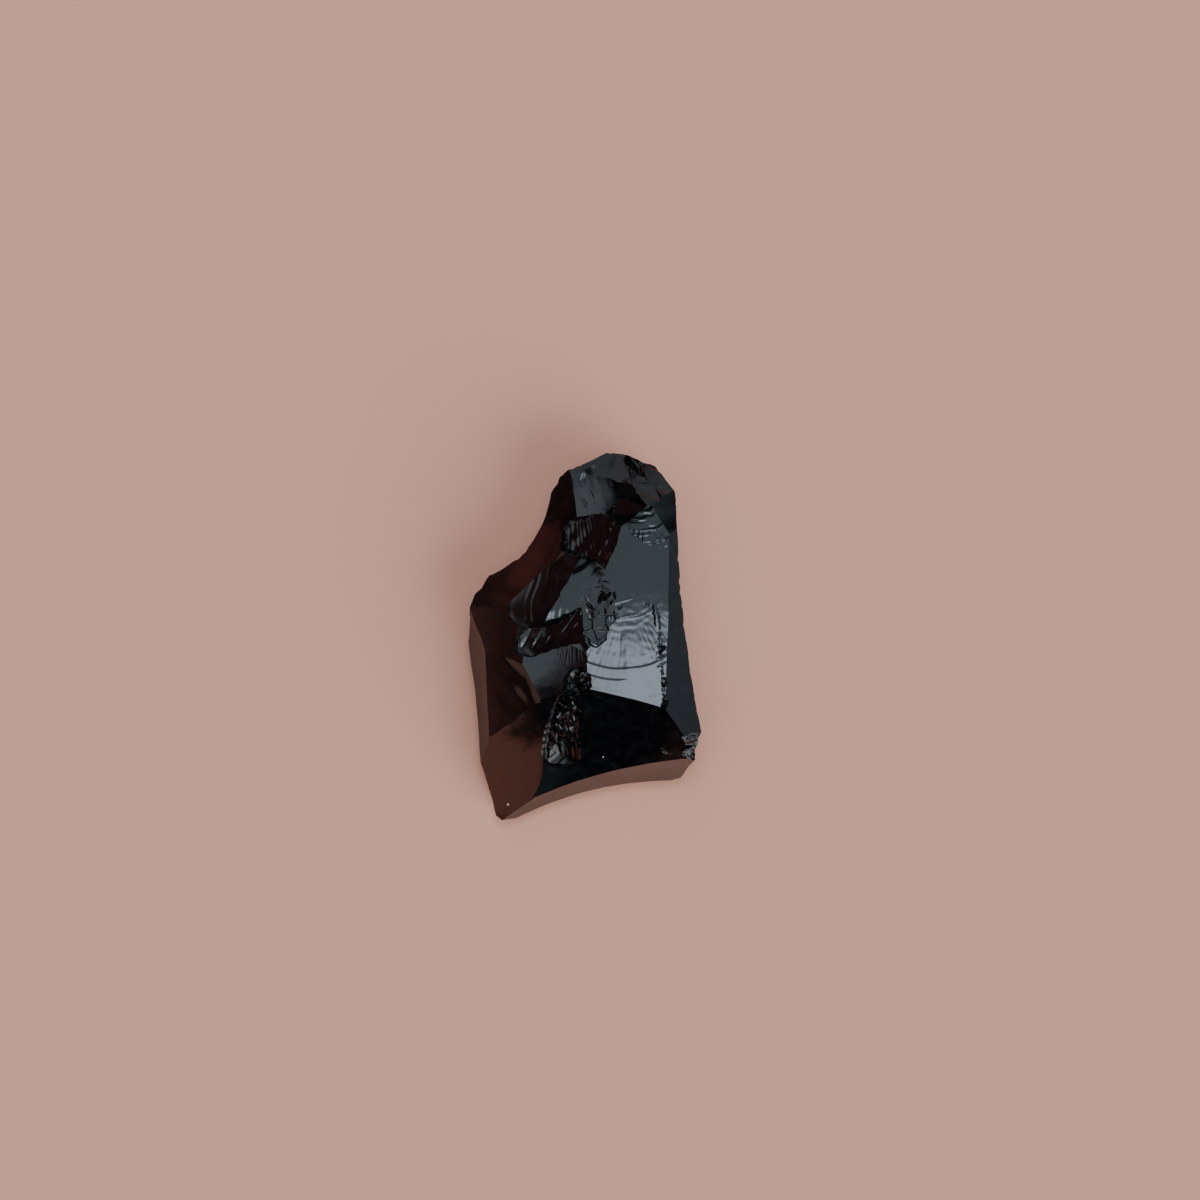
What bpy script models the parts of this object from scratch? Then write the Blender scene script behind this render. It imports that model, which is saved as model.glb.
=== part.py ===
"""A chunk of obsidian, black volcanic glass, broken and flaked on every side.

One solid piece. It is shaped the way the real thing was: a raw block, from which one flake after
another has been knocked off. Every flake leaves a scar, a smooth hollow sheet that meets its
neighbours in sharp ridges. Each scar is given by three corner points that its sheet passes
through and by the radii of its hollow, and a Boolean cuts it from the block.

The chunk lies on its flat underside, centred on the origin: +Y runs along its length to the
narrow head, +X to its thick right side, +Z up.
"""
import math

import bmesh
import bpy
from mathutils import Euler, Matrix, Vector

MM = 0.001

# Size of the chunk in millimetres, and of the raw block that it comes out of.
LENGTH = 60.4
WIDTH = 37.8
HEIGHT = 18.4
STOCK = 6.0          # how far the raw block stands proud of the finished chunk
REACH = 46.0         # how far a sheet runs on past its own scar, to clear the whole block
FAR = 200.0          # hollow radius of a scar that is nearly flat

UP, DOWN = (0, 0, 1), (0, 0, -1)
LEFT, RIGHT = (-1, 0, 0), (1, 0, 0)
HEADWARD, FOOTWARD = (0, 1, 0), (0, -1, 0)

# Corners of the scars on the upper side, in millimetres.
PEAK = (13.1, -11.2, 18.4)           # highest point: bright scar, dark scar and right bevel meet
BROW = (1.6, -8.3, 18.0)             # left end of the ridge between the bright and the dark scar
HEAD = (10.8, 21.3, 17.2)            # upper end of the bright scar
SHOULDER = (13.7, 12.5, 16.5)        # on the long ridge down the right side
HIP = (18.7, -14.1, 14.6)            # rim of the right side
CORNER = (17.3, -19.2, 15.3)         # right foot of the dark scar
FRONT_MID = (9.2, -20.7, 12.6)       # rim of the steep front
FRONT_LEFT = (-3.8, -24.5, 9.6)
TOE = (8.3, -24.2, 4.5)              # foot of the steep front
TIP = (-14.4, -29.6, 5.0)            # pointed lower left end
HEEL = (-16.9, -18.4, 7.6)
LENS = (-5.6, -12.5, 15.2)            # where the lower left scar meets the dark one
STRIP_RIM = (-18.7, -0.5, 7.2)       # the steep strip down the left edge
STRIP_MID = (-16.0, -2.1, 10.9)
STRIP_LOW = (-15.2, -10.6, 9.9)
MID_RIDGE = (-8.9, 4.2, 15.4)
SLATE_TIP = (-9.8, -4.2, 14.9)
SLATE_HEAD = (-0.1, -0.7, 17.0)
SLATE_FOOT = (0.7, -6.7, 17.85)
NOTCH = (-15.5, 9.9, 8.8)            # the two ends of the hollow upper left edge
BEND = (-5.3, 23.2, 10.4)
SADDLE = (-5.7, 11.3, 14.0)
BOWL_TOP = (4.2, 12.5, 17.0)         # the round hollow in the middle
BOWL_FOOT = (3.1, 3.2, 16.3)
BOWL_LEFT = (-3.4, 7.7, 15.2)
DIM_TOP = (-2.7, 13.2, 15.3)         # its left flank
DIM_RIGHT = (-3.4, 7.4, 15.1)
DIM_LEFT = (-7.0, 7.7, 13.7)
CRACK_TOP = (0.0, 4.0, 16.1)
CRACK_FOOT = (-0.1, 0.0, 16.6)
CRACK_LEFT = (-8.6, 2.0, 13.9)
RIPPLE_LEFT = (7.7, 20.2, 17.0)      # the rippled scar below the head
RIPPLE_RIGHT = (13.8, 17.3, 16.6)
RIPPLE_FOOT = (9.5, 14.0, 16.6)
SHOULDER_TOP = (11.1, 21.7, 16.9)    # the small scar between the head and the right side
SHOULDER_FOOT = (14.3, 16.1, 16.5)
SHOULDER_RIM = (15.2, 21.4, 14.9)
HEAD_TOP = (-0.8, 28.1, 12.0)        # the hollow of the head
HEAD_FOOT = (-1.1, 18.7, 15.0)
HEAD_END = (9.3, 20.4, 16.9)
HEAD_EDGE = (-3.3, 26.3, 11.6)
HEAD_RIDGE = (-1.3, 21.4, 14.8)
CREST_LEFT = (1.4, 27.9, 11.6)
CREST_FOOT = (4.7, 24.2, 14.4)
CREASE = (7.0, 28.7, 11.8)
CROWN_RIGHT = (14.4, 24.2, 14.6)
CROWN_FOOT = (10.1, 21.7, 16.8)

# name, three corners, side it faces, hollow radius along and across its run, run
UPPER_SCARS = [
    ("dark", BROW, PEAK, CORNER, UP, 70, 90, FOOTWARD),
    ("right_bevel", PEAK, SHOULDER, HIP, UP, 150, 80, FOOTWARD),
    ("front", FRONT_MID, FRONT_LEFT, TOE, FOOTWARD, FAR, 70, DOWN),
    ("left_strip", STRIP_RIM, STRIP_MID, STRIP_LOW, LEFT, 80, 60, FOOTWARD),
    ("lower_left", HEEL, LENS, TIP, UP, 38, 45, FOOTWARD),
    ("shoulder", SHOULDER_TOP, SHOULDER_FOOT, SHOULDER_RIM, UP, 60, 60, FOOTWARD),
    ("left_middle", STRIP_MID, SLATE_TIP, MID_RIDGE, UP, 60, 40, FOOTWARD),
    ("left_low", STRIP_MID, SLATE_TIP, STRIP_LOW, UP, 45, 40, FOOTWARD),
    ("slate", SLATE_TIP, SLATE_HEAD, SLATE_FOOT, UP, 35, 45, FOOTWARD),
    ("upper_left", NOTCH, BEND, SADDLE, UP, 60, 40, (1, 1.3, 0)),
    ("head_left", BEND, HEAD_EDGE, HEAD_RIDGE, UP, 30, 30, FOOTWARD),
    ("bowl", BOWL_TOP, BOWL_FOOT, BOWL_LEFT, UP, 20, 40, (0.3, -1, 0)),
    ("bowl_flank", DIM_TOP, DIM_RIGHT, DIM_LEFT, UP, 25, 40, FOOTWARD),
    ("crack", CRACK_TOP, CRACK_FOOT, CRACK_LEFT, UP, 30, 14, (1, -0.2, 0)),
    ("crown", CREASE, CROWN_RIGHT, CROWN_FOOT, UP, 40, 60, FOOTWARD),
    ("crest", CREST_LEFT, CREASE, CREST_FOOT, UP, 60, 60, FOOTWARD),
]

# Scars that also carry ledges or ripples round the point where the blow struck:
# strike point, ledges as (distance, drop), ripple spacing and height, facet size, finely cut radius
MARKED_SCARS = [
    (("bright", BROW, PEAK, HEAD, UP, 90, 130, FOOTWARD),
     (4.9, 7.6, 17.0), [(13.0, 0.16), (15.2, 0.14)], 0.0, 0.0, 0.8, 9.0),
    (("rippled", RIPPLE_LEFT, RIPPLE_RIGHT, RIPPLE_FOOT, UP, 28, 40, FOOTWARD),
     (10.1, 22.9, 17.0), [], 1.3, 0.05, 0.4, 4.0),
    (("head", HEAD_TOP, HEAD_FOOT, HEAD_END, UP, 38, 30, FOOTWARD),
     (6.5, 27.5, 14.0), [], 1.9, 0.06, 0.6, 6.0),
]

# The sides below the rim: two rim points, how far the foot of the side is tucked in, its hollow
SIDES = [
    ("right_side", (15.0, 22.2, 14.8), (18.6, -12.5, 14.2), 1.4, FAR),
    ("right_corner", (18.9, -14.7, 13.0), (17.9, -19.5, 13.0), 2.2, 60),
    ("front_rim", (8.3, -24.2, 4.4), (-3.9, -26.7, 3.6), 3.6, 60),
    ("toe_corner", (17.4, -22.0, 5.0), (16.0, -23.1, 5.0), 2.4, 60),
    ("tip_rim", (-13.7, -29.4, 4.0), (-15.5, -28.6, 4.2), 2.4, FAR),
    ("heel_rim", (-15.8, -27.2, 4.2), (-17.0, -18.9, 6.0), 2.4, FAR),
    ("heel_corner", (-17.0, -18.9, 6.0), (-18.4, -13.7, 6.3), 2.6, FAR),
    ("left_rim", (-19.0, -8.9, 6.4), (-19.1, -0.6, 7.2), 2.6, FAR),
    ("cheek_rim", (-18.9, 2.0, 7.6), (-18.1, 6.6, 8.2), 3.0, 100),
    ("notch_rim", (-18.1, 6.6, 8.2), (-15.5, 10.0, 8.8), 3.6, 100),
    ("hollow_rim", (-15.6, 9.9, 8.4), (-5.1, 23.5, 10.0), 7.3, 14),
    ("bend_rim", (-5.1, 23.7, 10.2), (-3.8, 26.1, 10.9), 3.8, FAR),
    ("head_rim_left", (-3.8, 26.1, 10.9), (-0.4, 28.2, 11.6), 4.3, 100),
    ("head_rim_top", (-0.4, 28.3, 11.4), (3.4, 30.45, 10.8), 4.2, 100),
    ("head_rim_mid", (3.4, 30.45, 10.6), (7.7, 29.4, 10.8), 4.4, 100),
    ("head_rim_right", (7.7, 29.3, 10.8), (12.0, 27.5, 11.6), 4.2, 100),
    ("crown_rim", (12.0, 27.4, 12.2), (14.4, 23.9, 14.0), 4.0, 100),
]

# Two larger scars that undercut the sides, down on the lying side.
UNDER_SCARS = [
    ("under_right", (17.2, 9.0, 6.5), (17.4, -9.0, 7.5), (11.5, 0.0, 0.0), (1, 0, -1), 60, 32, DOWN),
    ("under_head", (-1.0, 26.5, 4.0), (11.0, 27.0, 5.0), (5.5, 18.5, 0.0), (0, 1, -1), 60, 26, DOWN),
]

# Pits and chips: centre, half-axes, turn about Z and lean about X in degrees
PITS = [
    ("crush_1", (2.9, 5.1, 17.0), (1.5, 1.9, 1.3), 20, 0),
    ("crush_2", (1.4, 1.5, 17.5), (1.8, 1.4, 1.3), -15, 10),
    ("crush_3", (4.6, 3.6, 17.3), (1.2, 1.0, 1.4), 35, 0),
    ("pit", (-0.7, -6.9, 18.0), (1.9, 1.5, 1.3), 10, 0),
    ("shell", (-2.6, -18.3, 14.4), (3.1, 2.6, 2.8), -20, 20),
    ("tear_1", (-2.6, -12.6, 16.4), (1.5, 2.4, 1.8), -10, 0),
    ("tear_2", (0.8, -13.6, 16.4), (1.7, 2.2, 1.8), 15, 0),
    ("ribbed_dish", (1.6, 16.6, 18.4), (4.7, 4.0, 3.5), -12, 0),
    ("head_hollow", (7.2, 21.6, 16.9), (2.2, 1.6, 1.5), 15, 0),
    ("corner_chip", (18.2, -17.3, 16.6), (1.5, 2.6, 1.2), -25, 0),
    ("ridge_nick_1", (13.4, -0.2, 17.4), (0.5, 1.3, 0.8), 0, 0),
    ("ridge_nick_2", (13.5, -9.6, 18.9), (0.5, 1.0, 0.9), 0, 0),
    ("heel_chip", (-19.0, -14.2, 6.6), (1.0, 2.0, 1.4), -10, 0),
    ("brow_chip", (-2.6, -11.8, 17.4), (1.9, 1.4, 1.0), 30, 0),
]


def clear_scene():
    for obj in list(bpy.data.objects):
        bpy.data.objects.remove(obj, do_unlink=True)


def obsidian_material():
    mat = bpy.data.materials.new("obsidian")
    mat.use_nodes = True
    bsdf = mat.node_tree.nodes["Principled BSDF"]
    bsdf.inputs["Base Color"].default_value = (0.004, 0.004, 0.005, 1.0)
    bsdf.inputs["Roughness"].default_value = 0.12
    bsdf.inputs["Metallic"].default_value = 0.0
    return mat


def make_object(name, verts, faces):
    mesh = bpy.data.meshes.new(name)
    mesh.from_pydata([Vector(v) * MM for v in verts], [], faces)
    obj = bpy.data.objects.new(name, mesh)
    bpy.context.collection.objects.link(obj)
    return obj


def raw_block(name):
    """The block before flaking, a little larger than the chunk and already flat underneath."""
    x, y, top = WIDTH / 2 + STOCK, LENGTH / 2 + STOCK, HEIGHT + STOCK
    verts = [(sx * x, sy * y, z) for z in (0, top) for sx, sy in ((-1, -1), (1, -1), (1, 1), (-1, 1))]
    faces = [(3, 2, 1, 0), (4, 5, 6, 7), (0, 1, 5, 4), (1, 2, 6, 5), (2, 3, 7, 6), (3, 0, 4, 7)]
    return make_object(name, verts, faces)


def cut_away(chunk, name, waste):
    """Take a waste piece off the chunk."""
    waste.hide_render = True
    waste.display_type = "WIRE"
    cut = chunk.modifiers.new(name, "BOOLEAN")
    cut.operation = "DIFFERENCE"
    cut.solver = "EXACT"
    cut.object = waste


def sheet_frame(a, b, c, side, run):
    """Centre, run direction, cross direction and outward normal of the sheet through a, b and c."""
    a, b, c = Vector(a), Vector(b), Vector(c)
    out = (b - a).cross(c - a).normalized()
    if out.dot(Vector(side)) < 0:
        out.negate()
    along = (Vector(run) - out * out.dot(Vector(run))).normalized()
    return (a + b + c) / 3, along, out.cross(along), out


def hollow_sheet(corners, frame, radius_along, radius_across):
    """Height of the sheet over its plane: a shallow hollow that passes through its corners."""
    centre, along, across, _ = frame
    rows, rest = [], []
    for corner in corners:
        d = Vector(corner) - centre
        u, v = d.dot(along), d.dot(across)
        rows.append((1.0, u, v))
        rest.append(-u * u / (2 * radius_along) - v * v / (2 * radius_across))
    k = Matrix(rows).inverted() @ Vector(rest)

    def height(u, v):
        return k[0] + k[1] * u + k[2] * v + u * u / (2 * radius_along) + v * v / (2 * radius_across)

    return height


def marked_sheet(height, frame, strike, ledges, spacing, swell):
    """The same sheet with ripples round the strike point and ledges beyond it along the run."""
    centre, along, across, _ = frame
    d = Vector(strike) - centre
    su, sv = d.dot(along), d.dot(across)

    def marked(u, v):
        r = math.hypot(u - su, v - sv)
        beyond = 0.5 * (1 + math.tanh((u - su) / 3.0))
        h = height(u, v)
        for distance, drop in ledges:
            h += beyond * drop * 0.5 * (1 - math.tanh((r - distance) / 0.25))
        if spacing:
            h += swell * math.sin(2 * math.pi * r / spacing)
        return h

    return marked


def grid_lines(facet, near, reach):
    """Lines at even steps near the middle of a scar, then at growing steps out to the reach."""
    lines, step = [0.0], facet
    while lines[-1] < reach:
        if lines[-1] > near:
            step *= 1.6
        lines.append(lines[-1] + step)
    return [-x for x in reversed(lines[1:])] + lines


def waste_block(name, frame, height, facet, near):
    """The closed piece that is knocked off: the sheet on its inner side, flat on its outer side."""
    centre, along, across, out = frame
    lines = grid_lines(facet, near, REACH)
    n, span = len(lines), lines[-1]
    sheet = [(u, v, height(u, v)) for u in lines for v in lines]
    cap = max(max(h for _, _, h in sheet), 2 * REACH) + 5.0
    local = sheet + [(su * span, sv * span, cap) for su, sv in ((-1, -1), (-1, 1), (1, 1), (1, -1))]
    faces = []
    for i in range(n - 1):
        for j in range(n - 1):
            p, q = i * n + j, (i + 1) * n + j
            faces += [(p, p + 1, q + 1), (p, q + 1, q)]
    t = n * n
    edges = [list(range(n)), [i * n + n - 1 for i in range(n)],
             [(n - 1) * n + j for j in reversed(range(n))], [i * n for i in reversed(range(n))]]
    for k, edge in enumerate(edges):
        faces.append(tuple([t + k, t + (k + 1) % 4] + edge[::-1]))
    faces.append((t + 3, t + 2, t + 1, t))
    return make_object(name, [centre + along * u + across * v + out * h for u, v, h in local], faces)


def add_scar(chunk, scar, strike=None, ledges=(), spacing=0.0, swell=0.0, facet=2.2, near=14.0):
    """Cut one flake scar into the chunk."""
    name, a, b, c, side, radius_along, radius_across, run = scar
    frame = sheet_frame(a, b, c, side, run)
    height = hollow_sheet((a, b, c), frame, radius_along, radius_across)
    if strike:
        height = marked_sheet(height, frame, strike, ledges, spacing, swell)
    cut_away(chunk, name, waste_block("waste_" + name, frame, height, facet, near))


def add_side(chunk, name, rim_a, rim_b, tuck, radius):
    """Cut a side below the rim: it leans in from two rim points to its foot on the ground."""
    a, b = Vector(rim_a), Vector(rim_b)
    outward = (b - a).cross(Vector(UP))
    outward.z = 0
    outward.normalize()
    middle = (a + b) / 2
    if outward.dot(middle) < 0:
        outward.negate()
    foot = middle - outward * tuck
    foot.z = 0
    side = outward + Vector((0, 0, -0.3))
    add_scar(chunk, (name, a, b, foot, side, FAR, radius, DOWN))


def add_pit(chunk, name, centre, axes, turn, lean):
    """Knock out a small rounded chip or pit."""
    bm = bmesh.new()
    bmesh.ops.create_icosphere(bm, subdivisions=2, radius=1.0)
    shape = Matrix.Diagonal((*axes, 1.0))
    rotation = Euler((math.radians(lean), 0, math.radians(turn))).to_matrix().to_4x4()
    bm.transform(Matrix.Scale(MM, 4) @ Matrix.Translation(centre) @ rotation @ shape)
    mesh = bpy.data.meshes.new("waste_" + name)
    bm.to_mesh(mesh)
    bm.free()
    waste = bpy.data.objects.new("waste_" + name, mesh)
    bpy.context.collection.objects.link(waste)
    cut_away(chunk, name, waste)


def main():
    clear_scene()
    chunk = raw_block("obsidian_chunk")
    for scar, *marks in MARKED_SCARS:
        add_scar(chunk, scar, *marks)
    for scar in UPPER_SCARS + UNDER_SCARS:
        add_scar(chunk, scar)
    for side in SIDES:
        add_side(chunk, *side)
    for pit in PITS:
        add_pit(chunk, *pit)
    chunk.data.materials.append(obsidian_material())


main()
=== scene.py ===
import math

import bmesh
import bpy
import numpy as np
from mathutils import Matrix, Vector


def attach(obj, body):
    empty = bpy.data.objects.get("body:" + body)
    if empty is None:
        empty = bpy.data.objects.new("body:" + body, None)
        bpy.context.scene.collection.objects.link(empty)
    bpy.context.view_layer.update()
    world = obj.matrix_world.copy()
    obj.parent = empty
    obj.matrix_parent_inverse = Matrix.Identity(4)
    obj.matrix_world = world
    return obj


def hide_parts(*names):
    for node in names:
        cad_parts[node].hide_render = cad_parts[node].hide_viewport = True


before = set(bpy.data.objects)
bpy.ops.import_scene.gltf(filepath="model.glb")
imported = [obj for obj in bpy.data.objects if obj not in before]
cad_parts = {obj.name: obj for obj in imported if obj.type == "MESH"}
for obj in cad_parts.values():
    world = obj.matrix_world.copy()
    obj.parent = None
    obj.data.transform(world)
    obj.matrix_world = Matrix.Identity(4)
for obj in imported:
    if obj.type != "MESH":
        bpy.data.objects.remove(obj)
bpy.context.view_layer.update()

# ---------------------------------------------------------------------------------------------
# The chunk: one piece of black volcanic glass.
# Obsidian is lava that froze before crystals could grow. It has no grain, so each blow takes off
# a flake whose scar is a smooth hollow sheet, and the chunk is what the scars leave between them.
# ---------------------------------------------------------------------------------------------

MM = 0.001

UP, DOWN, LEFT = (0, 0, 1), (0, 0, -1), (-1, 0, 0)
FOOTWARD = (0, -1, 0)
FLAT = 200.0  # radius of a sheet that is almost flat


def unit(v):
    v = np.array(v, float)
    return v / np.linalg.norm(v)


def fade(x, start, end):
    """0 before start, 1 after end, smooth between."""
    t = np.clip((x - start) / (end - start), 0.0, 1.0)
    return t * t * (3 - 2 * t)


def beside(path, u, v, closed=False):
    """Distance from a path of points, and for a closed one negative inside it."""
    ends = path[1:] + path[:1] if closed else path[1:]
    best, inside = np.full(np.shape(u), 1e9), np.zeros(np.shape(u), bool)
    for (au, av), (bu, bv) in zip(path, ends):
        eu, ev = bu - au, bv - av
        t = np.clip(((u - au) * eu + (v - av) * ev) / (eu * eu + ev * ev + 1e-12), 0, 1)
        best = np.minimum(best, np.hypot(u - au - t * eu, v - av - t * ev))
        if closed and ev:
            inside ^= ((av > v) != (bv > v)) & (u < au + (v - av) / ev * eu)
    return np.where(inside, -best, best)


class Scar:
    """A hollow sheet through three corners, with marks worked into its surface. All in mm.

    side is the way it faces, hollow its two radii, run the way the crack ran. A scar with an
    outline stays inside it: beyond it the sheet climbs a bank (rise, width) clear of the chunk.
    """

    def __init__(self, name, corners, side, hollow, run=FOOTWARD, marks=(), facet=0.22,
                 outline=None, bank=(3.0, 0.4)):
        a, b, c = (np.array(p, float) for p in corners)
        self.name, self.marks, self.facet, self.bank = name, marks, facet, bank
        self.centre = (a + b + c) / 3
        out = unit(np.cross(b - a, c - a))
        self.out = out if out @ np.array(side, float) > 0 else -out
        self.along = unit(np.array(run, float) - self.out * (self.out @ np.array(run, float)))
        self.across = np.cross(self.out, self.along)
        self.r1, self.r2 = hollow
        uv = [self.flat(p)[:2] for p in (a, b, c)]
        rest = [-u * u / (2 * self.r1) - v * v / (2 * self.r2) for u, v in uv]
        self.k = np.linalg.solve([[1, u, v] for u, v in uv], rest)
        self.edge = [self.under(x, y) for x, y in outline] if outline else None

    def flat(self, p):
        d = np.asarray(p, float) - self.centre
        return d @ self.along, d @ self.across, d @ self.out

    def under(self, x, y):
        """Where a point seen from above lies on the sheet's plane."""
        dx, dy = x - self.centre[0], y - self.centre[1]
        z = self.centre[2] - (dx * self.out[0] + dy * self.out[1]) / self.out[2]
        return self.flat((x, y, z))[:2]

    def height(self, u, v, plain=False):
        k = self.k
        h = k[0] + k[1] * u + k[2] * v + u * u / (2 * self.r1) + v * v / (2 * self.r2)
        away = 0.0 if self.edge is None else beside(self.edge, u, v, closed=True)
        if not plain:
            for mark, values in self.marks:
                h = h + mark(self, u, v, **values)
            # The rim of a small scar wanders by a tenth of a millimetre or so
            away = away + 0.12 * np.sin(2.7 * u + 1.3 * v) * np.sin(2.3 * v - 1.9 * u)
        if self.edge is not None:
            rise, width = self.bank
            h = h + rise * np.clip(away / width, 0, 1)
        return h

    def over(self, p, plain=False):
        """How far points stand out of the sheet: positive is in the waste."""
        u, v, w = self.flat(p)
        return w - self.height(u, v, plain)

    def normal(self, p, e=0.02):
        u, v, _ = self.flat(p)
        hu = (self.height(u + e, v) - self.height(u - e, v)) / (2 * e)
        hv = (self.height(u, v + e) - self.height(u, v - e)) / (2 * e)
        n = self.out - hu[:, None] * self.along - hv[:, None] * self.across
        return n / np.linalg.norm(n, axis=1, keepdims=True)


def polar(scar, u, v, strike, wobble=0.0, oval=1.0):
    """Distance and direction from the point where the blow struck."""
    su, sv = scar.under(*strike)
    du, dv = u - su, (v - sv) * oval
    r, turn = np.hypot(du, dv) + 1e-9, np.arctan2(dv, du)
    r = r + wobble * (np.sin(3 * turn + 0.7) + 0.6 * np.sin(7 * turn + 2.1) + 0.4 * np.sin(13 * turn))
    return r, turn


def sector(turn, heading, spread):
    """1 near the heading, 0 further off than the spread, in degrees."""
    off = np.abs((np.degrees(turn) - heading + 180) % 360 - 180)
    return 1 - fade(off, spread * 0.6, spread)


def waves(scar, u, v, seed, length, swell):
    """The faint unevenness of any broken glass face."""
    rng = np.random.default_rng(seed)
    total = 0.0
    for _ in range(5):
        turn, size, phase = rng.uniform(0, 2 * np.pi), length * rng.uniform(0.6, 1.6), rng.uniform(0, 6.3)
        total = total + np.sin(2 * np.pi * (u * np.cos(turn) + v * np.sin(turn)) / size + phase)
    return swell * total / 2.5


def ripples(scar, u, v, strike, spacing, swell, near=0.0, far=99.0, wobble=0.15, oval=1.0,
            heading=0.0, spread=300, seed=0):
    """Waves the crack left as it ran, in uneven arcs round the strike."""
    r, turn = polar(scar, u, v, strike, wobble, oval)
    phase = 2 * np.pi * (r + 0.25 * spacing * np.sin(1.1 * r + seed)) / spacing
    uneven = 0.55 + 0.45 * np.sin(2.3 * phase / 6.28 + 2.0 * np.sin(2 * turn + seed) + seed)
    return swell * uneven * np.sin(phase + 0.5 * np.sin(phase)) * sector(turn, heading, spread) * \
        fade(r, near, near + spacing) * (1 - fade(r, far - 1.5 * spacing, far))


def ledge(scar, u, v, strike, radius, drop, width=0.16, wobble=0.12, spread=60, heading=0.0):
    """A step where the crack jumped to a deeper level, along part of an arc."""
    r, turn = polar(scar, u, v, strike, wobble)
    step = 0.5 * (1 - np.tanh((r - radius) / width))
    return drop * step * sector(turn, heading, spread) * fade(r, radius * 0.2, radius * 0.8)


def hackles(scar, u, v, strike, count, swell, near, far=99.0, spread=180, heading=0.0):
    """Fine ridges that fan out from the strike."""
    r, turn = polar(scar, u, v, strike)
    drift = 0.9 * np.sin(count * 0.37 * turn + 1.0) + 1.2 * np.sin(count * 0.11 * turn + 2.0) + 0.4 * r
    fan = np.sin(count * turn + drift)
    return swell * fan * fade(r, near, near * 1.3 + 0.5) * (1 - fade(r, far * 0.8, far)) * \
        sector(turn, heading, spread)


def grooves(scar, u, v, paths):
    """Fine tear lines: points seen from above, width and depth (below zero stands proud)."""
    total = 0.0
    for path, width, depth in paths:
        line = [scar.under(x, y) for x, y in path]
        total = total - depth * np.exp(-(beside(line, u, v) / width) ** 2)
    return total


def bites(scar, u, v, rows):
    """Small chips, each a ragged oval dish: x, y, turn, half length, half width, depth, lean."""
    low = np.zeros(np.shape(u))
    for x, y, turn, length, width, depth, lean in rows:
        cu, cv = scar.under(x, y)
        axis = np.array([math.cos(math.radians(turn)), math.sin(math.radians(turn)), 0])
        au, av = unit([axis @ scar.along, axis @ scar.across])
        a, b = (u - cu) * au + (v - cv) * av, (v - cv) * au - (u - cu) * av
        way = np.arctan2(b, a)
        ragged = 1 + 0.28 * np.sin(3 * way + 5 * x) + 0.16 * np.sin(7 * way + 3 * y)
        q = ((a / length) ** 2 + (b / width) ** 2) * ragged
        low = np.minimum(low, np.where(q < 1.8, depth * (q - 1) + lean * a, 0))
    return low


def nicks(scar, u, v, seed, path, spacing=1.2, size=0.5, depth=0.14):
    """Chips knocked out of a thin edge that runs between two points in space."""
    rng = np.random.default_rng(seed)
    (au, av, _), (bu, bv, _) = (scar.flat(p) for p in path)
    length = math.hypot(bu - au, bv - av)
    low, at = np.zeros(np.shape(u)), spacing * rng.uniform(0, 1)
    while at < length:
        s, t, reach = size * (0.3 + 1.9 * rng.uniform() ** 3), at / length, rng.uniform(1.2, 3.5)
        a, b = u - au - (bu - au) * t, v - av - (bv - av) * t
        q = (a / (s * reach)) ** 2 + (b / s) ** 2
        low = np.minimum(low, np.where(q < 1.0, depth * s / size * (q - 1), 0))
        at += spacing * rng.uniform(0.3, 1.2) * (1 + 2 * rng.uniform() ** 2)
    return low


def along_edge(seed, path, spacing, size, depth, stretch=1.6):
    """Chips set along an edge, as rows for bites."""
    rng = np.random.default_rng(seed)
    rows = []
    for (ax, ay), (bx, by) in zip(path, path[1:]):
        length = math.hypot(bx - ax, by - ay)
        turn = math.degrees(math.atan2(by - ay, bx - ax))
        at = spacing * rng.uniform(0.2, 0.8)
        while at < length:
            s = size * rng.uniform(0.5, 1.6)
            t = at / length
            rows.append((ax + (bx - ax) * t, ay + (by - ay) * t, turn + rng.uniform(-25, 25),
                         s * stretch, s, depth * rng.uniform(0.5, 1.6), 0.0))
            at += spacing * rng.uniform(0.6, 1.7)
    return rows


def shattered(scar, u, v, seed, size, drop, tilt, bias=(0, 0), seam=0.25, stretch=1.0, turn=0.0):
    """Crushed glass: small flat facets at odd levels and tilts, with steep seams between them."""
    rng = np.random.default_rng(seed)
    c, s = math.cos(math.radians(turn)), math.sin(math.radians(turn))
    a, b = (u * c + v * s) / stretch, v * c - u * s
    edge = [((p * c + q * s) / stretch, q * c - p * s) for p, q in scar.edge]
    (a0, b0), (a1, b1) = np.min(edge, axis=0) - size, np.max(edge, axis=0) + size
    count = int((a1 - a0) * (b1 - b0) / size ** 2) + 3
    ca, cb = rng.uniform(a0, a1, count), rng.uniform(b0, b1, count)
    level = drop * rng.uniform(-1, 1, count)
    lean = bias + tilt * rng.normal(0, 0.6, (count, 2))
    far = np.hypot(a[..., None] - ca, b[..., None] - cb)
    order = np.argpartition(far, 2, axis=-1)[..., :2]
    near = np.take_along_axis(far, order, -1)
    swap = near[..., 0] > near[..., 1]
    order[swap] = order[swap][:, ::-1]
    near = np.sort(near, axis=-1)
    plane = [level[i] + lean[i, 0] * (a - ca[i]) * stretch + lean[i, 1] * (b - cb[i])
             for i in (order[..., 0], order[..., 1])]
    mix = 0.5 + 0.5 * fade(near[..., 1] - near[..., 0], 0, seam)
    return plane[0] * mix + plane[1] * (1 - mix)


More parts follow.
